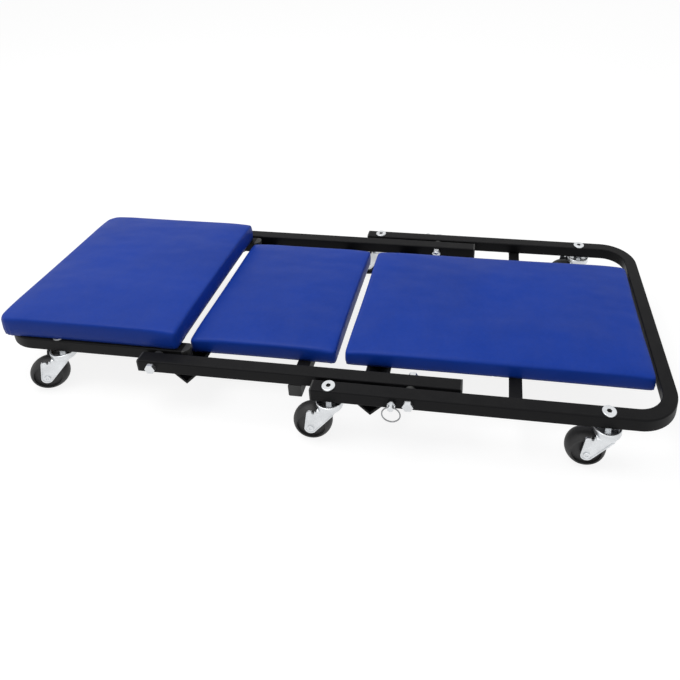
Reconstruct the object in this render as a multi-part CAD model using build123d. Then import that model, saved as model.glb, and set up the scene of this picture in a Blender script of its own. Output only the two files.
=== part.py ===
"""Folding rolling mechanic seat, laid out flat.

Three cushioned frame sections hinge together and roll on six swivel casters. The foot section is the
base of the folded seat, the middle section stands on it, and the head section becomes the seat.
Millimetres. X runs along the length from head to foot, Y across, Z up from the floor. The origin is on
the floor at the middle of the length and of the width.
"""

from build123d import *
from math import cos, pi, radians, sin, sqrt, tan
import os

os.makedirs("parts", exist_ok=True)

# Overall size
overall_length = 965.0
overall_width = 390.0

# Square steel tube, common to the three frame sections
tube_size = 19.0
tube_wall = 1.5
tube_corner_radius = 2.0
bend_radius = 45.0
nest_gap = 4.5

# Lengths of the frame sections and places of their hinges
base_frame_length = 474.0
middle_rail_length = 453.0
head_frame_length = 300.5
base_open_end_to_pivot = 131.0
middle_tail_length = 67.5
head_tail_length = 43.0
pivot_spacing = 364.5
head_cushion_setback = 6.0

# Folding: the tails come to rest on the lock pins and on the middle angle iron
fold_angle = 140.0
stop_clearance = 0.3

# Cross members
angle_depth = 17.3
angle_thickness = 3.0
angle_end_inset = 2.5
base_angle_to_pivot = 51.5
cross_tube_to_pivot = 159.5
strap_width = 18.0
strap_thickness = 3.0
strap_to_pivot = 137.5
strap_end_inset = 7.0

# Caster wheels
wheel_diameter = 53.0
wheel_width = 24.0
wheel_shoulder_drop = 5.5
wheel_rim_depth = 7.5
wheel_dish_depth = 3.0
wheel_hub_radius = 7.5
wheel_hub_clearance = 0.2
axle_radius = 3.0
axle_running_clearance = 0.08
axle_hole_clearance = 0.1
axle_head_radius = 4.6
axle_head_height = 1.6
axle_dimple_radius = 2.0
axle_dimple_depth = 0.9

# Caster forks
caster_trail = 24.8
fork_sheet = 2.0
fork_inner_half_width = 13.5
fork_bend_radius = 3.0
fork_top_gap = 0.6
fork_disc_radius = 18.0
fork_rim_width = 2.5
fork_rim_height = 8.0
fork_rim_rounding = 1.4
fork_cup_rounding = 1.8
fork_axle_lobe_radius = 8.0
fork_rear_lobe_radius = 3.0
fork_rear_lobe_beyond_axle = 0.5
fork_front_lobe_radius = 2.5
fork_front_lobe_ahead = 6.0
fork_bend_end = 15.0
fork_notch_radius = 1.8
fork_notch_depth = 4.0
fork_notch_from_axis = 19.5
fork_edge_width = 1.5
fork_edge_height = 0.8

# Swivels: a kingpin riveted through the fork, a ring of balls and an upper race on a hexagonal stem
kingpin_radius = 6.5
kingpin_flange_radius = 8.5
kingpin_flange_thickness = 1.6
swivel_clearance = 0.1
swivel_running_clearance = 0.08
ball_diameter = 2.4
ball_count = 16
upper_race_radius = 14.0
upper_race_thickness = 1.2
stem_hex_across_flats = 12.0
stem_hex_height = 7.0

# Places of the casters, and the way each one trails, in degrees about its stem from +X
caster_stem_to_foot_end = 91.5
caster_stem_to_open_end = 24.0
caster_stem_to_head_end = 98.0
trail_direction_of = {
    "foot_front": 181.0,
    "foot_rear": 184.0,
    "middle_front": 183.0,
    "middle_rear": 187.0,
    "head_front": 201.0,
    "head_rear": 168.0,
}

# Caster bolts, with a socket in a round head on top of the rail
caster_bolt_radius = 4.0
caster_bolt_head_radius = 9.0
caster_bolt_head_height = 1.6
caster_bolt_head_rounding = 0.9
caster_bolt_socket_across_flats = 6.0
caster_bolt_socket_depth = 2.4
caster_bolt_engagement = 6.5
caster_bolt_end_gap = 0.3
bolt_hole_clearance = 0.25
thread_clearance = 0.05

# Pivot bolts, with domed nuts on the inner faces
pivot_bolt_radius = 4.0
pivot_running_clearance = 0.08
pivot_head_across_flats = 13.0
pivot_head_thickness = 5.3
pivot_nut_thickness = 6.5
pivot_nut_dome_radius = 6.0
pivot_bolt_projection = 5.5
pivot_washer_radius = 8.0
pivot_play = 0.2

# Lock pins and their pull rings
lock_pin_radius = 4.0
lock_pin_running_clearance = 0.08
lock_pin_entry_clearance = 0.3
lock_pin_tip_chamfer = 1.0
lock_pin_tip_gap = 0.5
lock_pin_travel_in = 3.0
lock_pin_flange_radius = 5.5
lock_pin_flange_thickness = 1.5
lock_pin_neck_length = 6.0
lock_pin_eye_radius = 1.8
ring_radius = 12.0
ring_wire_radius = 0.9
ring_lift = 0.3

# End plugs
plug_cap_thickness = 2.0
plug_depth = 12.0
plug_clearance = 0.1

# Cushions and the boards under them
foot_cushion_side_clearance = 2.5
middle_cushion_side_clearance = 1.5
foot_cushion_to_open_end = 29.0
foot_cushion_end_gap = 1.5
middle_cushion_head_gap = 4.0
middle_cushion_foot_gap = 10.5
head_cushion_tail_setback = 14.5
head_cushion_edge_setback = 0.5
foot_cushion_height = 23.0
middle_cushion_height = 23.0
head_cushion_height = 29.5
cushion_crown = 3.2
cushion_corner_radius = 7.0
head_cushion_outer_corner_radius = 20.0
cushion_side_draw = 1.2
cushion_foot_inset = 1.5
cushion_top_inset = 2.6
# each row: the share of the top inset, and the share of the side height where it lies
cushion_side_shares = ((0.00, 0.40), (0.14, 0.72), (0.42, 0.91), (1.00, 1.00))
# each row: the share of the smaller half drawn in, and the share of the crown reached there
cushion_crown_shares = ((0.20, 0.52), (0.45, 0.90), (0.62, 1.00))
board_thickness = 9.0
board_inset = 2.5
board_clearance = 0.2
board_corner_radius = 18.0

# Screws that hold the boards, and spacers that lift the head board clear of the caster bolts
screw_radius = 2.5
screw_head_radius = 5.5
screw_head_height = 3.0
screw_head_rounding = 1.4
screw_recess_width = 1.2
screw_recess_length = 5.0
screw_recess_depth = 1.2
screw_hole_clearance = 0.25
screw_bite = 6.0
screw_tip_gap = 0.3
spacer_radius = 7.0
head_screw_inset = 3.5
head_screw_to_tail = 32.0
screw_row_share = 0.70
head_screw_to_caster = 32.0

cut_overrun = 5.0
sides = (-1, 1)

# Heights, worked out from the floor up
tube_half = tube_size / 2
wheel_radius = wheel_diameter / 2
fork_plate_bottom = wheel_diameter + fork_top_gap
fork_plate_top = fork_plate_bottom + fork_sheet
upper_race_bottom = fork_plate_top + ball_diameter + 2 * swivel_clearance
upper_race_top = upper_race_bottom + upper_race_thickness
rail_bottom = upper_race_top + stem_hex_height
rail_top = rail_bottom + tube_size
rail_centre = rail_bottom + tube_half
spacer_thickness = caster_bolt_head_height

# Rails nest inwards from the base frame
base_face_y = overall_width / 2
base_rail_y = base_face_y - tube_half
middle_face_y = base_face_y - tube_size - nest_gap
middle_rail_y = middle_face_y - tube_half
head_face_y = middle_face_y - tube_size - nest_gap
head_rail_y = head_face_y - tube_half

# Places along the length
foot_end_x = overall_length / 2
base_open_x = foot_end_x - base_frame_length
pivot_1_x = base_open_x + base_open_end_to_pivot
middle_tail_x = pivot_1_x + middle_tail_length
middle_open_x = middle_tail_x - middle_rail_length
pivot_2_x = pivot_1_x - pivot_spacing
head_tail_x = pivot_2_x + head_tail_length
head_end_x = head_tail_x - head_frame_length
folded_slope = radians(180 - fold_angle)
stop_drop = tube_half + angle_depth + (tube_half + stop_clearance) / cos(folded_slope)
base_angle_x = pivot_1_x - base_angle_to_pivot
middle_angle_x = pivot_2_x + stop_drop / tan(folded_slope)
cross_tube_x = pivot_1_x - cross_tube_to_pivot
strap_x = pivot_1_x + strap_to_pivot
lock_pin_reach = (tube_half + lock_pin_radius + stop_clearance) / sin(folded_slope)
lock_pin_x = pivot_1_x - lock_pin_reach
lock_pin_eye_offset = lock_pin_travel_in + lock_pin_flange_thickness + lock_pin_neck_length / 2
foot_caster_x = foot_end_x - caster_stem_to_foot_end
middle_caster_x = base_open_x + caster_stem_to_open_end
head_caster_x = head_end_x + caster_stem_to_head_end
caster_place_of = {
    "foot_front": (foot_caster_x, -base_rail_y),
    "foot_rear": (foot_caster_x, base_rail_y),
    "middle_front": (middle_caster_x, -base_rail_y),
    "middle_rear": (middle_caster_x, base_rail_y),
    "head_front": (head_caster_x, -head_rail_y),
    "head_rear": (head_caster_x, head_rail_y),
}
head_casters = [name for name in caster_place_of if name.startswith("head")]
base_casters = [name for name in caster_place_of if name not in head_casters]

# Ends and half widths of the cushions
inner_rail_face_y = head_rail_y - tube_half
foot_cushion_half_width = inner_rail_face_y - foot_cushion_side_clearance
middle_cushion_half_width = inner_rail_face_y - middle_cushion_side_clearance
head_cushion_half_width = head_face_y - head_cushion_edge_setback
foot_cushion_left_x = base_open_x + foot_cushion_to_open_end
foot_cushion_right_x = foot_end_x - tube_size - foot_cushion_end_gap
head_cushion_left_x = head_end_x + head_cushion_setback
head_cushion_right_x = head_tail_x - head_cushion_tail_setback
middle_cushion_left_x = head_cushion_right_x + middle_cushion_head_gap
middle_cushion_right_x = foot_cushion_left_x - middle_cushion_foot_gap
cross_tube_bottom = rail_bottom - tube_size
foot_board_bottom = rail_bottom
middle_board_bottom = rail_bottom
head_board_bottom = rail_top + spacer_thickness


# Basic shapes


def upright_cylinder(x, y, low, high, radius):
    """A cylinder along Z between two heights."""
    return Pos(x, y, (low + high) / 2) * Cylinder(radius, high - low)


def cross_cylinder(x, z, start, end, radius):
    """A cylinder along Y between two places."""
    return Pos(x, (start + end) / 2, z) * Rot(X=90) * Cylinder(radius, abs(end - start))


def block(low, high):
    """A box between its lowest and its highest corner."""
    size = [b - a for a, b in zip(low, high)]
    middle = [(a + b) / 2 for a, b in zip(low, high)]
    return Pos(*middle) * Box(*size)


def hexagon(across_flats, height):
    """A hexagonal prism along Z that stands on the origin."""
    return extrude(RegularPolygon(across_flats / 2, 6, major_radius=False), height)


def group(solids):
    """Identical pieces kept as separate solids of one node."""
    return Compound(children=list(solids))


# Tubes


def tube_outside():
    """The outline of the square tube."""
    return RectangleRounded(tube_size, tube_size, tube_corner_radius)


def tube_inside(clearance=0):
    """The outline of the hollow in the tube, less a clearance."""
    side = tube_size - 2 * tube_wall - 2 * clearance
    return RectangleRounded(side, side, tube_corner_radius / 2)


def straight_tube(start, length):
    """A tube that runs along the normal of its starting plane."""
    return extrude(start * tube_outside(), length) - extrude(start * tube_inside(), length)


def bent_tube(open_x, closed_x, rail_y):
    """A U of bent tube: two rails that start at open_x, joined by an end tube at closed_x."""
    toward = 1 if closed_x > open_x else -1
    end_x = closed_x - toward * tube_half
    route = FilletPolyline(
        (open_x, -rail_y, rail_centre),
        (end_x, -rail_y, rail_centre),
        (end_x, rail_y, rail_centre),
        (open_x, rail_y, rail_centre),
        radius=bend_radius,
    )
    start = Plane(origin=(open_x, -rail_y, rail_centre), x_dir=(0, 1, 0), z_dir=(toward, 0, 0))
    return sweep(start * tube_outside(), path=route) - sweep(start * tube_inside(), path=route)


def flat_plug(mouth):
    """A plug whose flat cap covers a tube's mouth; the plane's normal points out of the tube."""
    cap = extrude(mouth * tube_outside(), plug_cap_thickness)
    return cap + extrude(mouth * tube_inside(plug_clearance), -plug_depth)


def round_plug(x, y):
    """A plug in a rail's +X end with a half-round cap."""
    mouth = Plane(origin=(x, y, rail_centre), x_dir=(0, 1, 0), z_dir=(1, 0, 0))
    end = upright_cylinder(x, y, rail_bottom, rail_top, tube_half)
    cap = extrude(mouth * tube_outside(), tube_half) & end
    return cap + extrude(mouth * tube_inside(plug_clearance), -plug_depth)


# Holes through the rails


def caster_bolt_holes(names):
    """Upright holes through the rails for the caster bolts."""
    radius = caster_bolt_radius + bolt_hole_clearance
    low, high = rail_bottom - cut_overrun, rail_top + cut_overrun
    return [upright_cylinder(*caster_place_of[name], low, high, radius) for name in names]


def level_hole(x, rail_y, radius):
    """A level hole along Y through one rail."""
    reach = tube_half + cut_overrun
    return cross_cylinder(x, rail_centre, rail_y - reach, rail_y + reach, radius)


def screw_holes(places, low, high):
    """Upright clearance holes for the board screws."""
    return [upright_cylinder(x, y, low, high, screw_radius + screw_hole_clearance) for x, y in places]


# Places of the board screws

foot_screw_y = foot_cushion_half_width * screw_row_share
foot_angle_screws = [(base_angle_x, side * foot_screw_y) for side in sides]
foot_strap_screws = [(strap_x, side * foot_screw_y) for side in sides]
middle_screws = [(cross_tube_x, place * foot_screw_y) for place in (-1, 0, 1)]
head_screw_y = head_rail_y - head_screw_inset
head_screw_right_x = head_tail_x - head_screw_to_tail - head_screw_inset
head_screw_left_x = head_caster_x + head_screw_to_caster
head_screws = [(x, side * head_screw_y) for x in (head_screw_left_x, head_screw_right_x) for side in sides]


# Frames


def base_frame():
    """The foot section's bent tube, bored for casters, pivots and lock pins."""
    frame = bent_tube(base_open_x + plug_cap_thickness, foot_end_x, base_rail_y)
    frame -= caster_bolt_holes(base_casters)
    for side in sides:
        frame -= level_hole(pivot_1_x, side * base_rail_y, pivot_bolt_radius + bolt_hole_clearance)
        frame -= level_hole(lock_pin_x, side * base_rail_y, lock_pin_radius + lock_pin_running_clearance)
    return frame


def middle_rail(side):
    """One straight rail of the middle section, with its hinge holes and the lock pin's hole."""
    rail_y = side * middle_rail_y
    open_x = middle_open_x + plug_cap_thickness
    start = Plane(origin=(open_x, rail_y, rail_centre), x_dir=(0, 1, 0), z_dir=(1, 0, 0))
    rail = straight_tube(start, middle_tail_x - plug_cap_thickness - open_x)
    rail -= level_hole(pivot_1_x, rail_y, pivot_bolt_radius + pivot_running_clearance)
    rail -= level_hole(pivot_2_x, rail_y, pivot_bolt_radius + bolt_hole_clearance)
    entry_radius = lock_pin_radius + lock_pin_entry_clearance
    outside = side * (middle_face_y + cut_overrun)
    return rail - cross_cylinder(lock_pin_x, rail_centre, rail_y, outside, entry_radius)


def head_frame():
    """The head section's bent tube, bored for casters, pivots and board screws."""
    frame = bent_tube(head_tail_x - tube_half, head_end_x, head_rail_y)
    frame -= caster_bolt_holes(head_casters)
    frame -= screw_holes(head_screws, rail_bottom - cut_overrun, rail_top + cut_overrun)
    for side in sides:
        frame -= level_hole(pivot_2_x, side * head_rail_y, pivot_bolt_radius + pivot_running_clearance)
    return frame


def base_plugs():
    """Plugs in the base frame's two open ends."""
    x = base_open_x + plug_cap_thickness
    origins = [(x, side * base_rail_y, rail_centre) for side in sides]
    return group(flat_plug(Plane(origin=o, x_dir=(0, 1, 0), z_dir=(-1, 0, 0))) for o in origins)


def middle_plugs():
    """Plugs in the ends of the middle rails and of the cross tube."""
    plugs = []
    for side in sides:
        for x, out in ((middle_open_x, -1), (middle_tail_x, 1)):
            origin = (x - out * plug_cap_thickness, side * middle_rail_y, rail_centre)
            plugs.append(flat_plug(Plane(origin=origin, x_dir=(0, 1, 0), z_dir=(out, 0, 0))))
        mouth_y = side * (middle_face_y - plug_cap_thickness)
        origin = (cross_tube_x, mouth_y, rail_bottom - tube_half)
        plugs.append(flat_plug(Plane(origin=origin, x_dir=(1, 0, 0), z_dir=(0, side, 0))))
    return group(plugs)


def head_plugs():
    """Half-round plugs in the tails of the head frame."""
    return group(round_plug(head_tail_x - tube_half, side * head_rail_y) for side in sides)


# Cross members


def angle_iron(x, face_y, screw_places):
    """An angle iron laid as a V under the rails, its corner down and its edges cut level."""
    half_length = face_y - angle_end_inset
    edge = angle_thickness * sqrt(2)
    outline = Polyline(
        (-angle_depth, 0),
        (0, -angle_depth),
        (angle_depth, 0),
        (angle_depth - edge, 0),
        (0, edge - angle_depth),
        (edge - angle_depth, 0),
        close=True,
    )
    start = Plane(origin=(x, half_length, rail_bottom), x_dir=(1, 0, 0), z_dir=(0, -1, 0))
    iron = extrude(start * make_face(outline), 2 * half_length)
    holes = screw_holes(screw_places, rail_bottom - angle_depth - cut_overrun, rail_bottom)
    return iron - holes if holes else iron


def foot_strap():
    """The flat bar under the base rails that carries the foot board."""
    half_length = base_face_y - strap_end_inset
    low = (strap_x - strap_width / 2, -half_length, rail_bottom - strap_thickness)
    high = (strap_x + strap_width / 2, half_length, rail_bottom)
    bar = block(low, high)
    return bar - screw_holes(foot_strap_screws, low[2] - cut_overrun, rail_bottom + cut_overrun)


def cross_tube():
    """The square tube under the middle rails that carries the middle board."""
    half_length = middle_face_y - plug_cap_thickness
    origin = (cross_tube_x, -half_length, rail_bottom - tube_half)
    tube = straight_tube(Plane(origin=origin, x_dir=(1, 0, 0), z_dir=(0, 1, 0)), 2 * half_length)
    low = rail_bottom - tube_size - cut_overrun
    return tube - screw_holes(middle_screws, low, rail_bottom + cut_overrun)


# Fasteners


def caster_bolt(name):
    """A bolt with a round socket head on the rail, screwed into the caster's stem."""
    x, y = caster_place_of[name]
    head = upright_cylinder(0, 0, 0, caster_bolt_head_height, caster_bolt_head_radius)
    head = fillet(head.edges().sort_by(Axis.Z)[-1:], caster_bolt_head_rounding)
    socket_floor = caster_bolt_head_height - caster_bolt_socket_depth
    shank_length = tube_size + caster_bolt_engagement - caster_bolt_end_gap
    bolt = head + upright_cylinder(0, 0, -shank_length, 0, caster_bolt_radius)
    bolt -= Pos(0, 0, socket_floor) * hexagon(caster_bolt_socket_across_flats, cut_overrun)
    return Pos(x, y, rail_top) * bolt


def board_screw(x, y, seat, board_bottom):
    """A board screw whose head bears upwards on a seat, and whose shank bites into a board."""
    head = upright_cylinder(0, 0, -screw_head_height, 0, screw_head_radius)
    head = fillet(head.edges().sort_by(Axis.Z)[:1], screw_head_rounding)
    half_width, half_length = screw_recess_width / 2, screw_recess_length / 2
    recess_top = screw_recess_depth - screw_head_height
    for across, along in ((half_width, half_length), (half_length, half_width)):
        head -= block((-across, -along, -screw_head_height), (across, along, recess_top))
    tip = board_bottom + screw_bite - screw_tip_gap - seat
    return Pos(x, y, seat) * (head + upright_cylinder(0, 0, 0, tip, screw_radius))


def board_screws(places, seat, board_bottom):
    """Board screws at several places that share a seat height."""
    return [board_screw(x, y, seat, board_bottom) for x, y in places]


def board_spacers(places, low):
    """Washers between a board and the tube that carries it."""
    radius = screw_radius + screw_hole_clearance
    high = low + spacer_thickness
    rings = []
    for x, y in places:
        ring = upright_cylinder(x, y, low, high, spacer_radius)
        rings.append(ring - upright_cylinder(x, y, low - cut_overrun, high + cut_overrun, radius))
    return group(rings)


def crosswise(x, y, side):
    """A frame on a rail's side at pivot height, its Z pointing away from the middle of the object."""
    return Location(Plane(origin=(x, y, rail_centre), x_dir=(1, 0, 0), z_dir=(0, side, 0)))


def pivot_bolts(x, outer_face_y):
    """Hexagon bolts through an outer and an inner rail on both sides."""
    bolts = []
    length = 2 * tube_size + nest_gap + pivot_bolt_projection
    for side in sides:
        bolt = hexagon(pivot_head_across_flats, pivot_head_thickness)
        bolt += upright_cylinder(0, 0, -length, 0, pivot_bolt_radius)
        bolts.append(crosswise(x, side * outer_face_y, side) * bolt)
    return group(bolts)


def pivot_nuts(x, inner_face_y):
    """Domed nuts on the ends of the pivot bolts, a little off the rail that turns."""
    nuts = []
    dome_centre = pivot_nut_thickness - pivot_play
    bore_radius = pivot_bolt_radius + thread_clearance
    for side in sides:
        nut = hexagon(pivot_head_across_flats, pivot_nut_thickness)
        nut += Pos(0, 0, dome_centre) * Sphere(pivot_nut_dome_radius, arc_size1=0)
        nut -= upright_cylinder(0, 0, -cut_overrun, pivot_nut_thickness, bore_radius)
        nuts.append(crosswise(x, side * (inner_face_y - pivot_play), -side) * nut)
    return group(nuts)


def pivot_washers(x, gap_outer_y):
    """Spacer washers on the pivot bolts between the nested rails."""
    washers = []
    for side in sides:
        ring = upright_cylinder(0, 0, pivot_play - nest_gap, 0, pivot_washer_radius)
        ring -= upright_cylinder(0, 0, -nest_gap, cut_overrun, pivot_bolt_radius + bolt_hole_clearance)
        washers.append(crosswise(x, side * gap_outer_y, side) * ring)
    return group(washers)


# Lock pins


def lock_pin(side):
    """A pin through the base rail, flanged outside; pushed in, it enters the middle rail."""
    inner = middle_face_y + lock_pin_tip_gap - base_face_y
    flange_top = lock_pin_travel_in + lock_pin_flange_thickness
    shank = upright_cylinder(0, 0, inner, flange_top + lock_pin_neck_length, lock_pin_radius)
    shank = chamfer(shank.edges().group_by(Axis.Z)[0], lock_pin_tip_chamfer)
    pin = shank + upright_cylinder(0, 0, lock_pin_travel_in, flange_top, lock_pin_flange_radius)
    eye = Rot(Y=90) * Cylinder(lock_pin_eye_radius, 2 * lock_pin_flange_radius)
    eye = Pos(0, 0, lock_pin_eye_offset) * eye
    return crosswise(lock_pin_x, side * base_face_y, side) * (pin - eye)


def pull_ring(side):
    """A wire ring that hangs through the eye of a lock pin."""
    ring = Rot(X=90) * Torus(ring_radius, ring_wire_radius)
    ring_y = side * (base_face_y + lock_pin_eye_offset)
    return Pos(lock_pin_x, ring_y, rail_centre - ring_radius + ring_lift) * ring


# Casters, drawn about their stem with the wheel towards +X


def place_caster(name, shape):
    """Turns a caster piece to its trailing direction and sets it under its rail."""
    x, y = caster_place_of[name]
    return Pos(x, y, 0) * Rot(Z=trail_direction_of[name]) * shape


def caster_stem():
    """The fixed half of the swivel: kingpin, upper race and hexagonal stem, bored for the caster bolt."""
    flange_top = fork_plate_bottom - swivel_clearance
    flange_bottom = flange_top - kingpin_flange_thickness
    stem = upright_cylinder(0, 0, flange_bottom, upper_race_bottom, kingpin_radius)
    stem += upright_cylinder(0, 0, flange_bottom, flange_top, kingpin_flange_radius)
    stem += upright_cylinder(0, 0, upper_race_bottom, upper_race_top, upper_race_radius)
    stem += Pos(0, 0, upper_race_top) * hexagon(stem_hex_across_flats, stem_hex_height)
    bore_floor = rail_bottom - caster_bolt_engagement
    return stem - upright_cylinder(0, 0, bore_floor, rail_top, caster_bolt_radius + thread_clearance)


def caster_balls(names):
    """The rings of balls between the forks' cups and the upper races."""
    pitch_radius = (kingpin_radius + upper_race_radius) / 2
    height = fork_plate_top + swivel_clearance + ball_diameter / 2
    balls = []
    for index in range(ball_count):
        turn = 2 * pi * index / ball_count
        centre = Pos(pitch_radius * cos(turn), pitch_radius * sin(turn), height)
        balls.append(centre * Sphere(ball_diameter / 2))
    return group(place_caster(name, ball) for name in names for ball in balls)


def fork_leg_outline():
    """A rounded triangle from the cup down to the axle, with a notch behind the cup."""
    axle_lobe = Pos(caster_trail, wheel_radius) * Circle(fork_axle_lobe_radius)
    rear_x = caster_trail + fork_rear_lobe_beyond_axle
    rear_lobe = Pos(rear_x, fork_plate_top - fork_rear_lobe_radius) * Circle(fork_rear_lobe_radius)
    front_lobe = Circle(fork_front_lobe_radius)
    front_lobe = Pos(-fork_front_lobe_ahead, fork_plate_top - fork_front_lobe_radius) * front_lobe
    outline = make_hull(axle_lobe.edges() + rear_lobe.edges() + front_lobe.edges())
    notch_floor = fork_plate_top - fork_notch_depth
    notch_middle = Pos(fork_notch_from_axis, notch_floor + fork_plate_top / 2)
    return outline - notch_middle * SlotOverall(fork_plate_top, 2 * fork_notch_radius, rotation=90)


def fork_channel():
    """The sheet bent to an upturned U over the wheel, seen along the fork and drawn out along it."""
    start = Plane(origin=(-fork_disc_radius, 0, 0), x_dir=(0, 1, 0), z_dir=(1, 0, 0))
    length = fork_disc_radius + caster_trail + wheel_radius
    outside = RectangleRounded(
        2 * (fork_inner_half_width + fork_sheet), 2 * fork_plate_top, fork_bend_radius + fork_sheet
    )
    inside = RectangleRounded(2 * fork_inner_half_width, 2 * fork_plate_bottom, fork_bend_radius)
    return extrude(start * outside, length) - extrude(start * inside, length)


def caster_fork():
    """A pressed fork: a cup for the balls and two triangular legs with raised edges, bent down beside it."""
    leg = fork_leg_outline()
    reach = fork_inner_half_width + fork_sheet
    side_view = Plane(origin=(0, -reach, 0), x_dir=(1, 0, 0), z_dir=(0, -1, 0))
    legs = extrude(side_view * leg, -2 * reach)
    far = caster_trail + wheel_radius
    ahead = block((-far, -far, 0), (fork_bend_end, far, rail_top))
    between = block((fork_bend_end, -fork_inner_half_width, 0), (far, fork_inner_half_width, rail_top))
    fork = (legs & ahead & fork_channel()) + (legs - ahead - between)
    cup = upright_cylinder(0, 0, fork_plate_bottom, fork_plate_top + fork_rim_height, fork_disc_radius)
    cup = fillet(cup.edges().sort_by(Axis.Z)[-1:], fork_rim_rounding)
    cup = fillet(cup.edges().sort_by(Axis.Z)[:1], fork_cup_rounding)
    fork += cup - upright_cylinder(0, 0, fork_plate_top, rail_top, fork_disc_radius - fork_rim_width)
    bend_start = fork_plate_bottom - fork_bend_radius
    raised = leg - offset(leg, -fork_edge_width)
    for side in sides:
        outer = Plane(origin=(0, side * reach, 0), x_dir=(1, 0, 0), z_dir=(0, -1, 0))
        band = extrude(outer * raised, -side * fork_edge_height)
        fork += band - block((-far, -far, bend_start), (fork_bend_end, far, rail_top))
    fork -= upright_cylinder(0, 0, wheel_radius, rail_top, kingpin_radius + swivel_running_clearance)
    return fork - cross_cylinder(caster_trail, wheel_radius, -far, far, axle_radius + axle_hole_clearance)


def caster_axle():
    """A rivet through both legs, with a low head on each side."""
    reach = fork_inner_half_width + fork_sheet
    axle = cross_cylinder(caster_trail, wheel_radius, -reach, reach, axle_radius)
    for side in sides:
        start, end = side * reach, side * (reach + axle_head_height)
        head = cross_cylinder(caster_trail, wheel_radius, start, end, axle_head_radius)
        rim = head.edges().sort_by(Axis.Y)
        axle += fillet(rim[-1:] if side > 0 else rim[:1], axle_head_height / 2)
        floor = end - side * axle_dimple_depth
        axle -= cross_cylinder(caster_trail, wheel_radius, floor, end, axle_dimple_radius)
    return axle


def caster_wheel():
    """A wheel with a crowned tread, dished sides and a hub that reaches both legs."""
    bore = axle_radius + axle_running_clearance
    hub_end = fork_inner_half_width - wheel_hub_clearance
    face = wheel_width / 2
    web = face - wheel_dish_depth
    shoulder = wheel_radius - wheel_shoulder_drop
    rim = wheel_radius - wheel_rim_depth
    near_side = Polyline(
        (shoulder, 0, -face), (rim, 0, -face), (rim, 0, -web), (wheel_hub_radius, 0, -web),
        (wheel_hub_radius, 0, -hub_end), (bore, 0, -hub_end),
    )
    far_side = Polyline(
        (bore, 0, hub_end), (wheel_hub_radius, 0, hub_end), (wheel_hub_radius, 0, web),
        (rim, 0, web), (rim, 0, face), (shoulder, 0, face),
    )
    tread = ThreePointArc((shoulder, 0, face), (wheel_radius, 0, 0), (shoulder, 0, -face))
    outline = make_face(near_side + Line((bore, 0, -hub_end), (bore, 0, hub_end)) + far_side + tread)
    return Pos(caster_trail, 0, wheel_radius) * Rot(X=90) * revolve(outline, Axis.Z)


# Cushions and boards


def cushion_outline(span, inset, height, left_radius):
    """A level outline whose four sides draw in a little between its rounded corners."""
    left, right, half_width, _ = span
    x, y = (right - left) / 2 - inset, half_width - inset
    radius_of = {-1: left_radius, 1: cushion_corner_radius}
    edges = []
    for i, radius in radius_of.items():
        flat_x, flat_y = x - radius, y - radius
        turn = radius * cos(pi / 4)
        for j in sides:
            middle = (i * (flat_x + turn), j * (flat_y + turn))
            edges.append(ThreePointArc((i * x, j * flat_y), middle, (i * flat_x, j * y)))
        edges.append(ThreePointArc((i * x, -flat_y), (i * (x - cushion_side_draw), 0), (i * x, flat_y)))
    for j in sides:
        middle = (0, j * (y - cushion_side_draw))
        edges.append(ThreePointArc((left_radius - x, j * y), middle, (x - cushion_corner_radius, j * y)))
    return Pos((left + right) / 2, 0, height) * make_face(edges)


def cushion(span, side_height, left_radius):
    """A crowned cushion with nearly upright sides, whose underside takes its board."""
    left, right, half_width, low = span
    top = low + side_height
    smaller_half = min(half_width, (right - left) / 2)
    rows = [(cushion_foot_inset, low)]
    rows += [(cushion_top_inset * a, low + side_height * b) for a, b in cushion_side_shares]
    rows += [(smaller_half * a, top + cushion_crown * b) for a, b in cushion_crown_shares]
    outlines = [cushion_outline(span, inset, height, left_radius) for inset, height in rows]
    return loft(outlines, ruled=True) - board_block(span, board_clearance)


def board_block(span, clearance):
    """The board's block, grown by a clearance when it cuts its cushion's pocket."""
    left, right, half_width, low = span
    inset = cushion_foot_inset + board_inset - clearance
    size_x = right - left - 2 * inset
    size_y = 2 * (half_width - inset)
    outline = RectangleRounded(size_x, size_y, board_corner_radius)
    return extrude(Pos((left + right) / 2, 0, low - clearance) * outline, board_thickness + 2 * clearance)


def board(span, screw_places):
    """A plywood board with blind holes for its screws."""
    low = span[3]
    radius = screw_radius + thread_clearance
    start, end = low - cut_overrun, low + screw_bite
    holes = [upright_cylinder(x, y, start, end, radius) for x, y in screw_places]
    return board_block(span, 0) - holes


# Everything together

foot_span = (foot_cushion_left_x, foot_cushion_right_x, foot_cushion_half_width, foot_board_bottom)
middle_span = (middle_cushion_left_x, middle_cushion_right_x, middle_cushion_half_width, middle_board_bottom)
head_span = (head_cushion_left_x, head_cushion_right_x, head_cushion_half_width, head_board_bottom)
foot_screw_set = board_screws(foot_angle_screws, rail_bottom - angle_depth, foot_board_bottom)
foot_screw_set += board_screws(foot_strap_screws, rail_bottom - strap_thickness, foot_board_bottom)

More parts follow.
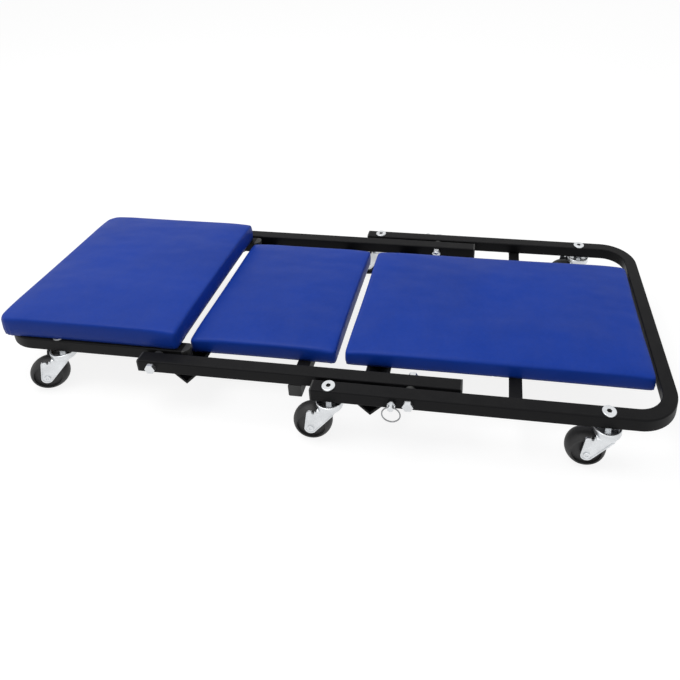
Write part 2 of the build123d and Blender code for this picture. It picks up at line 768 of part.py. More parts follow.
pieces = {
    "base_frame": base_frame(),
    "base_plugs": base_plugs(),
    "base_angle_iron": angle_iron(base_angle_x, base_face_y, foot_angle_screws),
    "foot_strap": foot_strap(),
    "foot_board": board(foot_span, foot_angle_screws + foot_strap_screws),
    "foot_cushion": cushion(foot_span, foot_cushion_height, cushion_corner_radius),
    "foot_board_screws": group(foot_screw_set),
    "base_pivot_bolts": pivot_bolts(pivot_1_x, base_face_y),
    "base_pivot_nuts": pivot_nuts(pivot_1_x, middle_face_y - tube_size),
    "base_pivot_washers": pivot_washers(pivot_1_x, base_face_y - tube_size),
    "base_caster_bolts": group(caster_bolt(name) for name in base_casters),
    "lock_pin_front": lock_pin(-1),
    "lock_pin_rear": lock_pin(1),
    "pull_ring_front": pull_ring(-1),
    "pull_ring_rear": pull_ring(1),
    "middle_rail_front": middle_rail(-1),
    "middle_rail_rear": middle_rail(1),
    "middle_plugs": middle_plugs(),
    "middle_angle_iron": angle_iron(middle_angle_x, middle_face_y, []),
    "cross_tube": cross_tube(),
    "middle_board": board(middle_span, middle_screws),
    "middle_cushion": cushion(middle_span, middle_cushion_height, cushion_corner_radius),
    "middle_board_screws": group(board_screws(middle_screws, cross_tube_bottom, middle_board_bottom)),
    "head_pivot_bolts": pivot_bolts(pivot_2_x, middle_face_y),
    "head_pivot_nuts": pivot_nuts(pivot_2_x, head_face_y - tube_size),
    "head_pivot_washers": pivot_washers(pivot_2_x, middle_face_y - tube_size),
    "head_frame": head_frame(),
    "head_plugs": head_plugs(),
    "head_board": board(head_span, head_screws),
    "head_cushion": cushion(head_span, head_cushion_height, head_cushion_outer_corner_radius),
    "head_board_screws": group(board_screws(head_screws, rail_bottom, head_board_bottom)),
    "head_board_spacers": board_spacers(head_screws, rail_top),
    "head_caster_bolts": group(caster_bolt(name) for name in head_casters),
    "base_caster_balls": caster_balls(base_casters),
    "head_caster_balls": caster_balls(head_casters),
}
for name in caster_place_of:
    pieces[f"stem_{name}"] = place_caster(name, caster_stem())
    pieces[f"fork_{name}"] = place_caster(name, caster_fork())
    pieces[f"axle_{name}"] = place_caster(name, caster_axle())
    pieces[f"wheel_{name}"] = place_caster(name, caster_wheel())

for node, shape in pieces.items():
    export_step(shape, f"parts/{node}.step")
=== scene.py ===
"""Rolling mechanic seat, laid out flat: finishes, upholstery and studio around the fixed frame."""

from math import atan2, cos, pi, radians, sin

import bmesh
import bpy
from mathutils import Matrix, Vector


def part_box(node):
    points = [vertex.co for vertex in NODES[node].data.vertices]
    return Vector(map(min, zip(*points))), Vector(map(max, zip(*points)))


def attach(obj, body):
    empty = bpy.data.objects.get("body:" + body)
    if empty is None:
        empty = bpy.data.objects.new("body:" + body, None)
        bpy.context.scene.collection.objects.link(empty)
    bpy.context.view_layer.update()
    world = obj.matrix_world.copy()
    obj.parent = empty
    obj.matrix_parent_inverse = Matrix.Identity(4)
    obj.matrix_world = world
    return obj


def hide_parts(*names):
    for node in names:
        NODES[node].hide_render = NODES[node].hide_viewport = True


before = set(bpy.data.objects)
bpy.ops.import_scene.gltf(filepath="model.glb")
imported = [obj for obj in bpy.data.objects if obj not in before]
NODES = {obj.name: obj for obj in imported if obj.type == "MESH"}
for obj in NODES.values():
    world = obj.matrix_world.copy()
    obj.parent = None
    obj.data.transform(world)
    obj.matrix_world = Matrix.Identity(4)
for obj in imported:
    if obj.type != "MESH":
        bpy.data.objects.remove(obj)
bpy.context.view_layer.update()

bl_info = {
    "name": "Mechanic seat",
    "version": (1, 0, 0),
    "blender": (4, 5, 0),
    "location": "View3D > Sidebar > Mechanic seat",
    "description": "Upholstery, finishes and studio for a folding rolling mechanic seat",
    "category": "Object",
}

# The reference view: place and turns of the camera, its focal length and the centre of its picture
CAMERA_PLACE = (0.243132, -0.796511, 0.715086)
CAMERA_YAW = -0.136021
CAMERA_PITCH = -0.382886
CAMERA_ROLL = 0.015800
CAMERA_FOCAL_SHARE = 0.922213
CAMERA_SHIFT = (-0.117647, -0.323529)
SENSOR_WIDTH = 36.0

# Which material each group of nodes wears
PAINTED = ("base_frame", "base_angle_iron", "foot_strap", "middle_rail_front", "middle_rail_rear",
           "middle_angle_iron", "cross_tube", "head_frame")
PLASTIC = ("base_plugs", "middle_plugs", "head_plugs", "base_pivot_washers", "head_pivot_washers")
BOARDS = ("foot_board", "middle_board", "head_board")
SCREWS = ("foot_board_screws", "middle_board_screws", "head_board_screws")
PLATED = ("base_pivot_bolts", "base_pivot_nuts", "base_caster_bolts", "head_pivot_bolts", "head_pivot_nuts",
          "head_board_spacers", "lock_pin_front", "lock_pin_rear")
# Painted shade: the head caster bolts wear darkened zinc because they sit in shade under the head cushion;
# the pull rings wear the same duller zinc
SHADED_BOLTS_AND_DULL_RINGS = ("head_caster_bolts", "pull_ring_front", "pull_ring_rear")
BALLS = ("base_caster_balls", "head_caster_balls")

# Each cushion: its body, and the radii of its corners towards the head and towards the foot, in metres
CUSHIONS = {
    "head_cushion": ("head", 0.017, 0.004),
    "middle_cushion": ("middle", 0.004, 0.004),
    "foot_cushion": ("base", 0.004, 0.004),
}

# The levels of a cushion before it swells: how far each one is drawn in, and its share of the side's height
SIDE_LEVELS = ((0.0015, 0.0), (0.0006, 0.08), (0.0001, 0.20), (0.0003, 0.45), (0.0004, 0.62), (0.0003, 0.78),
               (0.0007, 0.88), (0.0017, 0.96), (0.0036, 1.0))
# The levels of its crown: the share of the half width drawn in, and the share of the crown reached
CROWN_LEVELS = ((0.10, 0.40), (0.25, 0.75), (0.45, 0.93), (0.70, 1.0))

# How a cushion's block is drawn, in metres: how far it stays inside the finished pad, how far its sides draw
# in between the corners, and how a corner's radius shrinks with the inset down to the smallest one
BLOCK_SHRINK = 0.0006
SIDE_DRAW = 0.0012
RADIUS_LOSS = 0.4
SMALLEST_RADIUS = 0.004

# How its cover swells: the height of the stapled band, and the height, width and hold of the upper edge
SWELL_STEPS = 20
STAPLED_HEIGHT = 0.006
EDGE_HEIGHT = 0.012
EDGE_WIDTH = 0.009
EDGE_HOLD = 0.75

# The folds at a corner: how far they run on past it, their pitch and depth, the share of the corner's radius
# that they leave plain, the share of the pad's height over which they fade, and how far they spread round it
FOLD_MARGIN = 0.006
FOLD_PITCH = 0.0016
FOLD_DEPTH = 0.00055
FOLD_CORE = 0.5
FOLD_FADE = 0.75
FOLD_SPREAD = 0.66

# How far from a corner the foam is pulled down, the height and the slope of what counts as the underside, how
# far the hem lies below the board's face, and how far the vinyl inside the hem lies above it
DIP_REACH = 0.055
UNDERSIDE_HEIGHT = 0.004
UNDERSIDE_SLOPE = -0.3
HEM_DROP = 0.0004
BOARD_RISE = 0.002

# The staples: how far into the hem they sit, as a share of its width, how far they stand askew, in radians,
# and the outline of one, seen from its side, with the radius of its wire, in millimetres
STAPLE_PLACE = 0.72
STAPLE_ASKEW = 0.10
STAPLE_OUTLINE = ((-5.0, 1.4), (-5.0, 0.1), (-4.5, -0.35), (0.0, -0.42), (4.5, -0.35), (5.0, 0.1), (5.0, 1.4))
STAPLE_RADIUS = 0.45

# The cup of painted shade in a bolt's socket: the corners' reach from the bolt's axis, and the depth below
# the head's top
SOCKET_LEVELS = ((0.00338, 0.0005), (0.00336, 0.0021), (0.0026, 0.00235))
CASTERS_OF = {
    "base_caster_bolts": ("foot_front", "foot_rear", "middle_front", "middle_rear"),
    "head_caster_bolts": ("head_front", "head_rear"),
}

# A weld bead: its radius, the swing of its ripples, how far it wanders, the step along it, the share of its
# radius left at its ends and how fast it grows from there, and how far it stays inside the tube's sides
BEAD_RADIUS = 0.00135
BEAD_RIPPLE = 0.00016
BEAD_WANDER = 0.00018
BEAD_STEP = 0.0008
BEAD_END_SHARE = 0.35
BEAD_END_SLOPE = 6
BEAD_MARGIN = 0.001
BEAD_INNER_MARGIN = 0.0015

# Where the frame's cross members are welded under the rails: a body, the member's node, the rail's node, and
# how far the bead lies below the rail's underside
WELDS = (
    ("base", "base_angle_iron", "base_frame", 0.0002),
    ("base", "foot_strap", "base_frame", 0.0004),
    ("middle", "middle_angle_iron", "middle_rail_front", 0.0002),
    ("middle", "cross_tube", "middle_rail_front", 0.0008),
)


# Sizes and colours that a user would change


class UpholsterySettings(bpy.types.PropertyGroup):
    colour: bpy.props.FloatVectorProperty(
        name="Vinyl colour", description="Colour of the vinyl", subtype="COLOR", size=3,
        default=(0.0035, 0.044, 0.37), min=0, max=1)
    grain: bpy.props.FloatProperty(
        name="Grain", description="Width of one pebble of the vinyl's grain", subtype="DISTANCE",
        unit="LENGTH", default=0.0011, min=0.0002, max=0.01, precision=4)
    corner_dip: bpy.props.FloatProperty(
        name="Corner dip", description="How far the stapled vinyl pulls the foam down at each corner",
        subtype="DISTANCE", unit="LENGTH", default=0.0035, min=0, max=0.02, precision=4)
    cell: bpy.props.FloatProperty(
        name="Mesh cell", description="Size of the cells that the cushions are remeshed with",
        subtype="DISTANCE", unit="LENGTH", default=0.004, min=0.002, max=0.01, precision=4)
    swell: bpy.props.FloatProperty(
        name="Swell", description="How far the foam may push the vinyl outwards", subtype="DISTANCE",
        unit="LENGTH", default=0.0025, min=0, max=0.02, precision=4)
    crown: bpy.props.FloatProperty(
        name="Crown", description="Rise of each cushion's middle over its edges before it swells",
        subtype="DISTANCE", unit="LENGTH", default=0.0018, min=0, max=0.02, precision=4)
    hem: bpy.props.FloatProperty(
        name="Hem", description="Width of the vinyl that is turned under the board", subtype="DISTANCE",
        unit="LENGTH", default=0.022, min=0.01, max=0.05, precision=4)
    staple_pitch: bpy.props.FloatProperty(
        name="Staple pitch", description="Distance between the staples of the hem", subtype="DISTANCE",
        unit="LENGTH", default=0.028, min=0.015, max=0.1, precision=4)


class FinishSettings(bpy.types.PropertyGroup):
    paint: bpy.props.FloatVectorProperty(
        name="Powder coat", description="Colour of the frame", subtype="COLOR", size=3,
        default=(0.0040, 0.0040, 0.0046), min=0, max=1)
    zinc: bpy.props.FloatVectorProperty(
        name="Zinc plate", description="Colour of forks, bolts, pins and rings", subtype="COLOR", size=3,
        default=(0.82, 0.84, 0.86), min=0, max=1)
    rubber: bpy.props.FloatVectorProperty(
        name="Rubber", description="Colour of the caster wheels", subtype="COLOR", size=3,
        default=(0.011, 0.011, 0.0115), min=0, max=1)
    wood: bpy.props.FloatVectorProperty(
        name="Plywood", description="Colour of the boards", subtype="COLOR", size=3,
        default=(0.46, 0.31, 0.17), min=0, max=1)
    wear: bpy.props.FloatProperty(
        name="Wear", description="How much the edges are rubbed", subtype="FACTOR", default=0.35,
        min=0, max=1)


class StudioSettings(bpy.types.PropertyGroup):
    floor: bpy.props.FloatVectorProperty(
        name="Floor", description="Colour of the floor", subtype="COLOR", size=3, default=(0.27, 0.27, 0.27),
        min=0, max=1)
    lift: bpy.props.FloatProperty(
        name="Floor lift", description="How much of the floor's white it gives off by itself",
        subtype="FACTOR", default=0.85, min=0, max=1)
    daylight: bpy.props.FloatProperty(
        name="Daylight", description="Strength of the light from all around", default=0.42, min=0, max=5)
    key: bpy.props.FloatProperty(
        name="Key lamp", description="Power of the large lamp", subtype="POWER", unit="POWER", default=21,
        min=0, max=500)


# Shader nodes


def add(tree, kind, inputs=None, **options):
    """Adds one shader node, sets its options and fills its sockets with values or links."""
    node = tree.nodes.new(kind)
    for name, value in options.items():
        setattr(node, name, value)
    for name, value in (inputs or {}).items():
        if isinstance(value, bpy.types.NodeSocket):
            tree.links.new(value, node.inputs[name])
        else:
            node.inputs[name].default_value = value
    return node


def scaled(tree, value, low, high):
    """Maps a value from 0..1 to low..high."""
    return add(tree, "ShaderNodeMapRange", {0: value, 3: low, 4: high}).outputs[0]


def tint(tree, mask, first, second):
    """Mixes two colours by a mask."""
    mix = add(tree, "ShaderNodeMix", {0: mask}, data_type="RGBA")
    for socket, value in ((mix.inputs[6], first), (mix.inputs[7], second)):
        if isinstance(value, bpy.types.NodeSocket):
            tree.links.new(value, socket)
        else:
            socket.default_value = (*value, 1)
    return mix.outputs[2]


def make_group(name, inputs, outputs):
    """An empty node group with named sockets, and its input and output nodes."""
    tree = bpy.data.node_groups.new(name, "ShaderNodeTree")
    for label, kind, value in inputs:
        socket = tree.interface.new_socket(label, in_out="INPUT", socket_type=kind)
        if value is not None:
            socket.default_value = value
    for label, kind in outputs:
        tree.interface.new_socket(label, in_out="OUTPUT", socket_type=kind)
    return tree, tree.nodes.new("NodeGroupInput"), tree.nodes.new("NodeGroupOutput")


def mottle_group():
    """Slow patches and fine specks of a value, for colour and roughness that are never quite even."""
    tree, given, result = make_group(
        "mottle",
        [("Patch Scale", "NodeSocketFloat", 12.0), ("Speck Scale", "NodeSocketFloat", 400.0),
         ("Speck Share", "NodeSocketFloat", 0.4)],
        [("Value", "NodeSocketFloat")])
    place = add(tree, "ShaderNodeTexCoord").outputs["Object"]
    patch = add(tree, "ShaderNodeTexNoise", {"Vector": place, "Scale": given.outputs[0], "Detail": 4.0})
    speck = add(tree, "ShaderNodeTexNoise", {"Vector": place, "Scale": given.outputs[1], "Detail": 2.0})
    mix = add(tree, "ShaderNodeMix", {0: given.outputs[2], 2: patch.outputs[0], 3: speck.outputs[0]})
    wide = add(tree, "ShaderNodeMapRange", {0: mix.outputs[0], 1: 0.3, 2: 0.7, 3: 0.0, 4: 1.0})
    tree.links.new(wide.outputs[0], result.inputs[0])
    return tree


def rub_group():
    """A mask of the edges where a finish is rubbed, broken up by noise."""
    tree, given, result = make_group(
        "edge rub",
        [("Reach", "NodeSocketFloat", 0.0012), ("Amount", "NodeSocketFloat", 0.5)],
        [("Mask", "NodeSocketFloat")])
    place = add(tree, "ShaderNodeTexCoord").outputs["Object"]
    soft = add(tree, "ShaderNodeBevel", {"Radius": given.outputs[0]}, samples=4)
    flat = add(tree, "ShaderNodeNewGeometry").outputs["Normal"]
    apart = add(tree, "ShaderNodeVectorMath", {0: soft.outputs[0], 1: flat}, operation="DISTANCE")
    noise = add(tree, "ShaderNodeTexNoise", {
        "Vector": place, "Scale": 140.0, "Detail": 6.0, "Roughness": 0.7})
    patchy = add(tree, "ShaderNodeMapRange", {0: noise.outputs[0], 1: 0.42, 2: 0.62})
    edge = add(tree, "ShaderNodeMapRange", {0: apart.outputs["Value"], 1: 0.12, 2: 0.5})
    both = add(tree, "ShaderNodeMath", {0: edge.outputs[0], 1: patchy.outputs[0]}, operation="MULTIPLY")
    much = add(tree, "ShaderNodeMath", {0: both.outputs[0], 1: given.outputs[1]}, operation="MULTIPLY")
    tree.links.new(much.outputs[0], result.inputs[0])
    return tree


def dust_group():
    """A mask of the fine dust that settles on faces that look up."""
    tree, given, result = make_group(
        "settled dust", [("Amount", "NodeSocketFloat", 0.3), ("Scale", "NodeSocketFloat", 60.0)],
        [("Mask", "NodeSocketFloat")])
    place = add(tree, "ShaderNodeTexCoord").outputs["Object"]
    normal = add(tree, "ShaderNodeNewGeometry").outputs["Normal"]
    up = add(tree, "ShaderNodeSeparateXYZ", {0: normal}).outputs[2]
    lying = add(tree, "ShaderNodeMapRange", {0: up, 1: 0.35, 2: 1.0}).outputs[0]
    noise = add(tree, "ShaderNodeTexNoise", {
        "Vector": place, "Scale": given.outputs[1], "Detail": 8.0, "Roughness": 0.75})
    patchy = add(tree, "ShaderNodeMapRange", {0: noise.outputs[0], 1: 0.38, 2: 0.75}).outputs[0]
    both = add(tree, "ShaderNodeMath", {0: lying, 1: patchy}, operation="MULTIPLY").outputs[0]
    much = add(tree, "ShaderNodeMath", {0: both, 1: given.outputs[0]}, operation="MULTIPLY").outputs[0]
    tree.links.new(much, result.inputs[0])
    return tree


def use_group(tree, name, builder, **inputs):
    """Places a shared node group, building it the first time."""
    node = tree.nodes.new("ShaderNodeGroup")
    node.node_tree = bpy.data.node_groups.get(name) or builder()
    for label, value in inputs.items():
        node.inputs[label.replace("_", " ").title()].default_value = value
    return node.outputs[0]


def mottle(tree, patch_scale, speck_scale, speck_share=0.4):
    """Places the mottle group."""
    return use_group(tree, "mottle", mottle_group, patch_scale=patch_scale, speck_scale=speck_scale,
                     speck_share=speck_share)


def bump(tree, height, distance, strength=1.0, normal=None):
    """Raises the surface by a height map."""
    inputs = {"Height": height, "Distance": distance, "Strength": strength}
    if normal is not None:
        inputs["Normal"] = normal
    return add(tree, "ShaderNodeBump", inputs).outputs[0]


def start_material(name, **sockets):
    """A material with a Principled shader whose constant sockets are set."""
    material = bpy.data.materials.new(name)
    material.use_nodes = True
    shader = material.node_tree.nodes["Principled BSDF"]
    for label, value in sockets.items():
        shader.inputs[label.replace("_", " ")].default_value = value
    return material, material.node_tree, shader


def feed(tree, shader, **links):
    """Links values to the Principled shader's sockets."""
    for label, value in links.items():
        tree.links.new(value, shader.inputs[label.replace("_", " ")])


# Materials


def powder_coat(finish):
    """Satin black powder coat with a fine orange peel, rubbed edges and a little dust."""
    material, tree, shader = start_material("satin_black_powder_coat", Specular_IOR_Level=0.11)
    patches = mottle(tree, 9.0, 700.0, 0.35)
    rubbed = use_group(tree, "edge rub", rub_group, reach=0.0012, amount=finish.wear)
    dust = use_group(tree, "settled dust", dust_group, amount=0.03, scale=45.0)
    paint = tint(tree, patches, finish.paint, [1.5 * c for c in finish.paint])
    paint = tint(tree, rubbed, paint, (0.07, 0.07, 0.07))
    paint = tint(tree, dust, paint, (0.16, 0.155, 0.15))
    place = add(tree, "ShaderNodeTexCoord").outputs["Object"]
    peel = add(tree, "ShaderNodeTexNoise", {"Vector": place, "Scale": 520.0, "Detail": 1.5})
    feed(tree, shader, Base_Color=paint, Roughness=scaled(tree, patches, 0.42, 0.55),
         Normal=bump(tree, peel.outputs[0], 0.00006))
    return material


def moulded_plastic():
    """Black moulded plastic of the end plugs and of the pivots' washers."""
    material, tree, shader = start_material("black_plug_plastic")
    patches = mottle(tree, 40.0, 1500.0, 0.6)
    feed(tree, shader, Base_Color=tint(tree, patches, (0.018, 0.018, 0.018), (0.03, 0.03, 0.03)),
         Roughness=scaled(tree, patches, 0.5, 0.64), Normal=bump(tree, patches, 0.00003))
    return material


def zinc_plate(finish, name="bright_zinc_plate", shade=1.0):
    """Zinc plate: pressed and tumbled steel, soft at its edges, a little dull in patches."""
    material, tree, shader = start_material(name, Metallic=1.0)
    patches = mottle(tree, 55.0, 900.0, 0.45)
    bright = [shade * c for c in finish.zinc]
    dull = [0.72 * c for c in bright]
    place = add(tree, "ShaderNodeTexCoord").outputs["Object"]
    scratches = add(tree, "ShaderNodeTexNoise", {
        "Vector": place, "Scale": 260.0, "Detail": 5.0, "Distortion": 2.5})
    soft = add(tree, "ShaderNodeBevel", {"Radius": 0.0004}, samples=4).outputs[0]
    feed(tree, shader, Base_Color=tint(tree, patches, dull, bright),
         Roughness=scaled(tree, patches, 0.38, 0.24),
         Normal=bump(tree, scratches.outputs[0], 0.00004, 0.6, soft))
    return material


def black_oxide():
    """Black oxide on the board screws."""
    material, tree, shader = start_material("black_oxide", Metallic=0.6)
    patches = mottle(tree, 80.0, 1200.0, 0.5)
    feed(tree, shader, Base_Color=tint(tree, patches, (0.03, 0.03, 0.032), (0.055, 0.055, 0.06)),
         Roughness=scaled(tree, patches, 0.35, 0.5), Normal=bump(tree, patches, 0.00003))
    return material


def socket_painted_shade():
    """Painted shade for the inside of a bolt's socket: near black, as if unlit."""
    material, tree, shader = start_material("socket_painted_shade", Metallic=0.2, Specular_IOR_Level=0.2)
    patches = mottle(tree, 400.0, 3000.0, 0.5)
    feed(tree, shader, Base_Color=tint(tree, patches, (0.008, 0.008, 0.008), (0.03, 0.028, 0.026)),
         Roughness=scaled(tree, patches, 0.6, 0.8), Normal=bump(tree, patches, 0.00004))
    return material


def bearing_steel():
    """Polished balls under a film of grease."""
    material, tree, shader = start_material("greased_bearing_steel", Metallic=1.0)
    patches = mottle(tree, 300.0, 2500.0, 0.4)
    feed(tree, shader, Base_Color=tint(tree, patches, (0.42, 0.38, 0.30), (0.74, 0.74, 0.76)),
         Roughness=scaled(tree, patches, 0.12, 0.3), Normal=bump(tree, patches, 0.00001))
    return material


def wheel_rubber(finish):
    """Hard black rubber, greyer and scuffed on the tread."""
    material, tree, shader = start_material("hard_black_rubber")
    patches = mottle(tree, 70.0, 1300.0, 0.5)
    dust = use_group(tree, "settled dust", dust_group, amount=0.12, scale=90.0)
    rubbed = use_group(tree, "edge rub", rub_group, reach=0.0015, amount=0.5)
    rubber = tint(tree, patches, finish.rubber, [1.9 * c for c in finish.rubber])
    rubber = tint(tree, rubbed, rubber, (0.06, 0.058, 0.055))
    rubber = tint(tree, dust, rubber, (0.11, 0.105, 0.10))
    feed(tree, shader, Base_Color=rubber, Roughness=scaled(tree, patches, 0.48, 0.66),
         Normal=bump(tree, patches, 0.00005))
    return material


def plywood(finish):
    """Plywood: long grain on the faces and thin plies on the edges."""
    material, tree, shader = start_material("raw_plywood")
    place = add(tree, "ShaderNodeTexCoord").outputs["Object"]
    long = add(tree, "ShaderNodeMapping", {"Vector": place, "Scale": (6.0, 90.0, 1.0)}).outputs[0]
    grain = add(tree, "ShaderNodeTexNoise", {
        "Vector": long, "Scale": 2.2, "Detail": 7.0, "Roughness": 0.65, "Distortion": 0.6}).outputs[0]
    height = add(tree, "ShaderNodeSeparateXYZ", {0: place}).outputs[2]
    ply = add(tree, "ShaderNodeMath", {0: height, 1: 2200.0}, operation="MULTIPLY").outputs[0]
    ply = add(tree, "ShaderNodeMath", {0: ply}, operation="SINE").outputs[0]
    normal = add(tree, "ShaderNodeNewGeometry").outputs["Normal"]
    upright = add(tree, "ShaderNodeSeparateXYZ", {0: normal}).outputs[2]
    upright = add(tree, "ShaderNodeMath", {0: upright}, operation="ABSOLUTE").outputs[0]
    edge = add(tree, "ShaderNodeMapRange", {0: upright, 1: 0.8, 2: 0.3}).outputs[0]
    ply = add(tree, "ShaderNodeMapRange", {0: ply, 1: -0.4, 2: 0.4}).outputs[0]
    plies = add(tree, "ShaderNodeMath", {0: ply, 1: edge}, operation="MULTIPLY").outputs[0]
    wood = tint(tree, grain, [0.62 * c for c in finish.wood], [1.2 * c for c in finish.wood])
    wood = tint(tree, plies, wood, [0.4 * c for c in finish.wood])
    feed(tree, shader, Base_Color=wood, Roughness=scaled(tree, grain, 0.62, 0.8),
         Normal=bump(tree, grain, 0.00015))
    return material


def vinyl(upholstery):
    """Smooth vinyl with a fine pebble, faint tension waves and a soft sheen."""
    material, tree, shader = start_material(
        "blue_vinyl", Specular_IOR_Level=0.18, Sheen_Weight=0.02, Sheen_Roughness=0.5)
    place = add(tree, "ShaderNodeTexCoord").outputs["Object"]
    patches = mottle(tree, 7.0, 240.0, 0.3)
    dust = use_group(tree, "settled dust", dust_group, amount=0.03, scale=25.0)
    colour = tint(tree, patches, [0.88 * c for c in upholstery.colour], [1.12 * c for c in upholstery.colour])
    colour = tint(tree, dust, colour, (0.35, 0.38, 0.45))
    pebble = add(tree, "ShaderNodeTexVoronoi", {
        "Vector": place, "Scale": 1 / upholstery.grain, "Smoothness": 0.6}, feature="SMOOTH_F1")
    slanted = add(tree, "ShaderNodeMapping", {
        "Vector": place, "Rotation": (0, 0, radians(32)), "Scale": (6.0, 13.0, 10.0)}).outputs[0]
    waves = add(tree, "ShaderNodeTexNoise", {"Vector": slanted, "Scale": 1.0, "Detail": 2.0}).outputs[0]
    relief = bump(tree, waves, 0.010, 0.6)
    relief = bump(tree, pebble.outputs[0], 0.00012, 0.5, relief)
    feed(tree, shader, Base_Color=colour, Roughness=scaled(tree, patches, 0.40, 0.52), Normal=relief)
    return material


def dress(nodes, material):
    """Puts a material on CAD nodes and pieces."""
    for name in nodes:
        piece = NODES[name]
        if piece.material_slots:
            for place in piece.material_slots:
                place.material = material
        else:
            piece.data.materials.append(material)


# Mesh work


def new_piece(name, mesh, material, body):
    """Links a mesh as a piece that rides on a body and takes its finish from a slot."""
    piece = bpy.data.objects.new(name, mesh)
    bpy.context.scene.collection.objects.link(piece)
    mesh.materials.clear()
    mesh.materials.append(material)
    for polygon in mesh.polygons:
        polygon.use_smooth = True
    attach(piece, body)
    return piece


def evaluated_mesh(piece):
    """The piece's mesh with its modifiers applied."""
    bpy.context.view_layer.update()
    return bpy.data.meshes.new_from_object(piece.evaluated_get(bpy.context.evaluated_depsgraph_get()))


def finish_mesh(work, name):
    """Turns mesh work into a mesh whose faces all look outwards."""
    bmesh.ops.recalc_face_normals(work, faces=work.faces)
    mesh = bpy.data.meshes.new(name)
    work.to_mesh(mesh)
    work.free()
    return mesh


def cushion_ring(low, high, inset, draw, radii, steps=7, runs=14):
    """One level ring of a cushion: rounded corners, and sides that draw in between them."""
    x0, y0, x1, y1 = low.x + inset, low.y + inset, high.x - inset, high.y - inset
    head, foot = (max(radius - RADIUS_LOSS * inset, SMALLEST_RADIUS) for radius in radii)
    ring = []
    corners = [((x1 - foot, y1 - foot), foot, 0), ((x0 + head, y1 - head), head, 1),
               ((x0 + head, y0 + head), head, 2), ((x1 - foot, y0 + foot), foot, 3)]
    for index, ((cx, cy), radius, quarter) in enumerate(corners):
        for step in range(steps + 1):
            turn = (quarter + step / steps) * pi / 2
            ring.append(Vector((cx + radius * cos(turn), cy + radius * sin(turn), 0)))
        (nx, ny), reach, after = corners[(index + 1) % 4]
        turn = after * pi / 2
        start, end = ring[-1], Vector((nx + reach * cos(turn), ny + reach * sin(turn), 0))
        inward = Vector((-cos(turn), -sin(turn), 0))
        for run in range(1, runs):
            share = run / runs
            ring.append(start.lerp(end, share) + inward * draw * (1 - (2 * share - 1) ** 2))
    return ring


def cushion_block(low, high, radii, crown):
    """The cushion before it swells: stacked rings, a little smaller than the finished pad."""
    side = high.z - low.z - crown - BLOCK_SHRINK
    half = (high.y - low.y) / 2
    rows = [(BLOCK_SHRINK + inset, low.z + side * share) for inset, share in SIDE_LEVELS]
    rows += [(BLOCK_SHRINK + half * inset, low.z + side + crown * share) for inset, share in CROWN_LEVELS]
    work = bmesh.new()
    rings = []
    for inset, z in rows:
        ring = cushion_ring(low, high, inset, SIDE_DRAW, radii)
        rings.append([work.verts.new((place.x, place.y, z)) for place in ring])
    for below, above in zip(rings, rings[1:]):
        for i in range(len(below)):
            j = (i + 1) % len(below)
            work.faces.new((below[i], below[j], above[j], above[i]))
    work.faces.new(list(reversed(rings[0])))
    work.faces.new(rings[-1])
    return finish_mesh(work, "cushion block")


def edge_distance(low, high, place):
    """How far a point lies inside the nearest side of a box, seen from above."""
    return min(place.x - low.x, high.x - place.x, place.y - low.y, high.y - place.y)


def swollen(block, low, high, settings):
    """The block after the foam has pushed its cover outwards, held at its staples and its upper edge."""
    piece = bpy.data.objects.new("cushion work", block)
    bpy.context.scene.collection.objects.link(piece)
    remesh = piece.modifiers.new("cells", "REMESH")
    remesh.mode, remesh.voxel_size = "VOXEL", settings.cell
    rest = evaluated_mesh(piece)
    piece.modifiers.clear()
    piece.data = rest
    top = max(v.co.z for v in rest.vertices)
    held = piece.vertex_groups.new(name="held")
    for v in rest.vertices:
        if v.co.z < low.z + STAPLED_HEIGHT:
            held.add([v.index], 1.0, "REPLACE")
        elif v.co.z > top - EDGE_HEIGHT and edge_distance(low, high, v.co) < EDGE_WIDTH:
            held.add([v.index], EDGE_HOLD, "REPLACE")
    cloth = piece.modifiers.new("cover", "CLOTH")
    cover = cloth.settings
    cover.quality = 5
    cover.mass = 0.3
    cover.tension_stiffness = cover.compression_stiffness = 22
    cover.shear_stiffness = 8
    cover.bending_stiffness = 1.2
    cover.use_pressure = True
    cover.uniform_pressure_force = 4
    cover.vertex_group_mass = held.name
    cover.effector_weights.gravity = 0
    scene = bpy.context.scene
    cloth.point_cache.frame_start, cloth.point_cache.frame_end = 1, SWELL_STEPS
    for step in range(1, SWELL_STEPS + 1):
        scene.frame_set(step)
    grown = evaluated_mesh(piece)
    scene.frame_set(1)
    piece.modifiers.clear()
    for before, after in zip(rest.vertices, grown.vertices):
        move = after.co - before.co
        if move.length > settings.swell:
            after.co = before.co + move * (settings.swell / move.length)
    piece.data = grown
    smooth = piece.modifiers.new("even", "SMOOTH")
    smooth.factor, smooth.iterations = 0.5, 2
    finer = piece.modifiers.new("finer", "SUBSURF")
    finer.levels = finer.render_levels = 1
    mesh = evaluated_mesh(piece)
    bpy.data.objects.remove(piece)
    return mesh


def gather_corners(mesh, low, high, radii):
    """Small folds where the vinyl is gathered round each corner, deeper towards the hem."""
    head, foot = radii
    for corner_x, inward_x, radius in ((low.x, 1, head), (high.x, -1, foot)):
        for corner_y, inward_y in ((low.y, 1), (high.y, -1)):
            centre = Vector((corner_x + inward_x * radius, corner_y + inward_y * radius, 0))
            reach = radius + FOLD_MARGIN
            for vertex in mesh.vertices:
                out = Vector((vertex.co.x - centre.x, vertex.co.y - centre.y, 0))
                along = max(out.x * inward_x, out.y * inward_y)
                if along > FOLD_MARGIN or out.length < FOLD_CORE * radius:
                    continue
                turn = atan2(-inward_y * out.y, -inward_x * out.x)
                share = 1 - min(1, max(0, (vertex.co.z - low.z) / (FOLD_FADE * (high.z - low.z))))
                fold = sin(turn * reach / FOLD_PITCH) * sin(min(pi, max(0, turn * 2 + pi / 4)) * FOLD_SPREAD)
                vertex.co += out.normalized() * FOLD_DEPTH * share * fold


